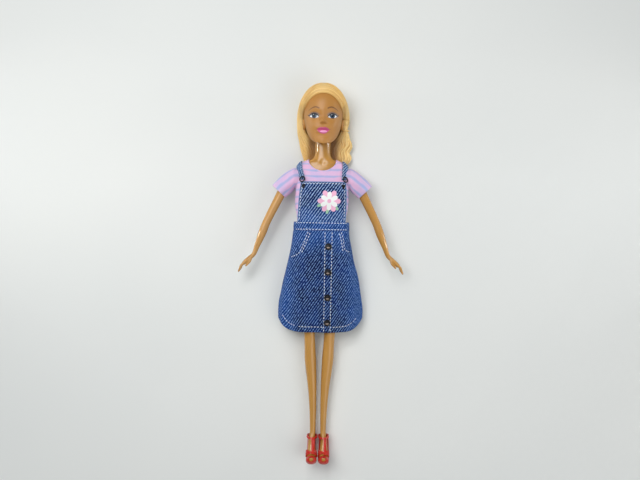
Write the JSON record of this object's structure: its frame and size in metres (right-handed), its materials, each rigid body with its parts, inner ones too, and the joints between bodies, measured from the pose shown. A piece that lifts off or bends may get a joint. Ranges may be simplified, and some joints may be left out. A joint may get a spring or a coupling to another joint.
{
  "type": "fashion doll",
  "caption": "Fashion doll lying on its back: blond hair, striped T-shirt, denim pinafore with snap placket, moulded heeled sandals; turning head, arms and legs.",
  "frame": {"origin": "on the floor under the middle of the doll's length, on its middle plane", "axes": "+Y from the feet to the head, +Z out of the face, +X towards the doll's own left hand"},
  "size_m": [0.1272, 0.2904, 0.0356],
  "materials": {
    "skin_plastic": "tan hard plastic, glossy",
    "head_vinyl": "tan soft vinyl, satin",
    "hair_fibre": "golden blond nylon fibre, glossy",
    "jersey": "pink jersey with soft pale stripes",
    "denim": "washed blue denim twill",
    "strap_denim": "pale washed denim",
    "black_plastic": "glossy black",
    "red_plastic": "glossy red, flexible",
    "peg_plastic": "natural, unpainted",
    "hook_tape": "pale hook and loop tape"
  },
  "bodies": {
    "torso": {"torso_front": "skin_plastic", "torso_back": "skin_plastic", "shirt_body": "jersey", "bib": "denim", "waistband": "denim", "skirt_front": "denim", "skirt_back": "denim", "placket": "denim", "dress_back_left": "denim", "dress_back_right": "denim", "strap_left": "strap_denim", "strap_right": "strap_denim", "buckle_left": "black_plastic", "buckle_right": "black_plastic", "buckle_tab_left": "black_plastic", "buckle_tab_right": "black_plastic", "button_1": "black_plastic", "button_2": "black_plastic", "button_3": "black_plastic", "button_4": "black_plastic", "neck_knob": "peg_plastic", "hip_axle": "peg_plastic", "dress_tape": "hook_tape", "shirt_tape": "hook_tape"},
    "head_body": {"head": "head_vinyl", "hair_cap": "hair_fibre", "hair_fall": "hair_fibre", "hair_tie": "hair_fibre", "hair_roll_left": "hair_fibre", "hair_roll_right": "hair_fibre", "hair_lock_left": "hair_fibre", "hair_lock_right": "hair_fibre"},
    "arm_body_left": {"arm_left": "skin_plastic", "shoulder_peg_left": "peg_plastic", "sleeve_left": "jersey"},
    "leg_body_left": {"leg_left": "skin_plastic", "shoe_left": "red_plastic"},
    "arm_body_right": {"arm_right": "skin_plastic", "shoulder_peg_right": "peg_plastic", "sleeve_right": "jersey"},
    "leg_body_right": {"leg_right": "skin_plastic", "shoe_right": "red_plastic"}
  },
  "joints": [
    {"name": "head_turn", "type": "hinge", "parent": "torso", "child": "head_body", "pos_m": [0, 0.10175, 0.0142], "axis": [0, 1, 0], "range_deg": [-90, 90], "deforming": ["hair_fall", "hair_lock_left", "hair_lock_right"]},
    {"name": "shoulder_left", "type": "hinge", "parent": "torso", "child": "arm_body_left", "pos_m": [0.0178, 0.07275, 0.0142], "axis": [1, 0, 0], "continuous": true},
    {"name": "shoulder_right", "type": "hinge", "parent": "torso", "child": "arm_body_right", "pos_m": [-0.0178, 0.07275, 0.0142], "axis": [1, 0, 0], "continuous": true},
    {"name": "hip_left", "type": "hinge", "parent": "torso", "child": "leg_body_left", "pos_m": [0.0122, 0.02075, 0.0142], "axis": [-1, 0, 0], "range_deg": [-15, 90], "deforming": ["skirt_front", "skirt_back", "placket", "button_1", "button_2", "button_3", "button_4"]},
    {"name": "hip_right", "type": "hinge", "parent": "torso", "child": "leg_body_right", "pos_m": [-0.0122, 0.02075, 0.0142], "axis": [-1, 0, 0], "range_deg": [-15, 90], "deforming": ["skirt_front", "skirt_back", "placket", "button_1", "button_2", "button_3", "button_4"]}
  ]
}
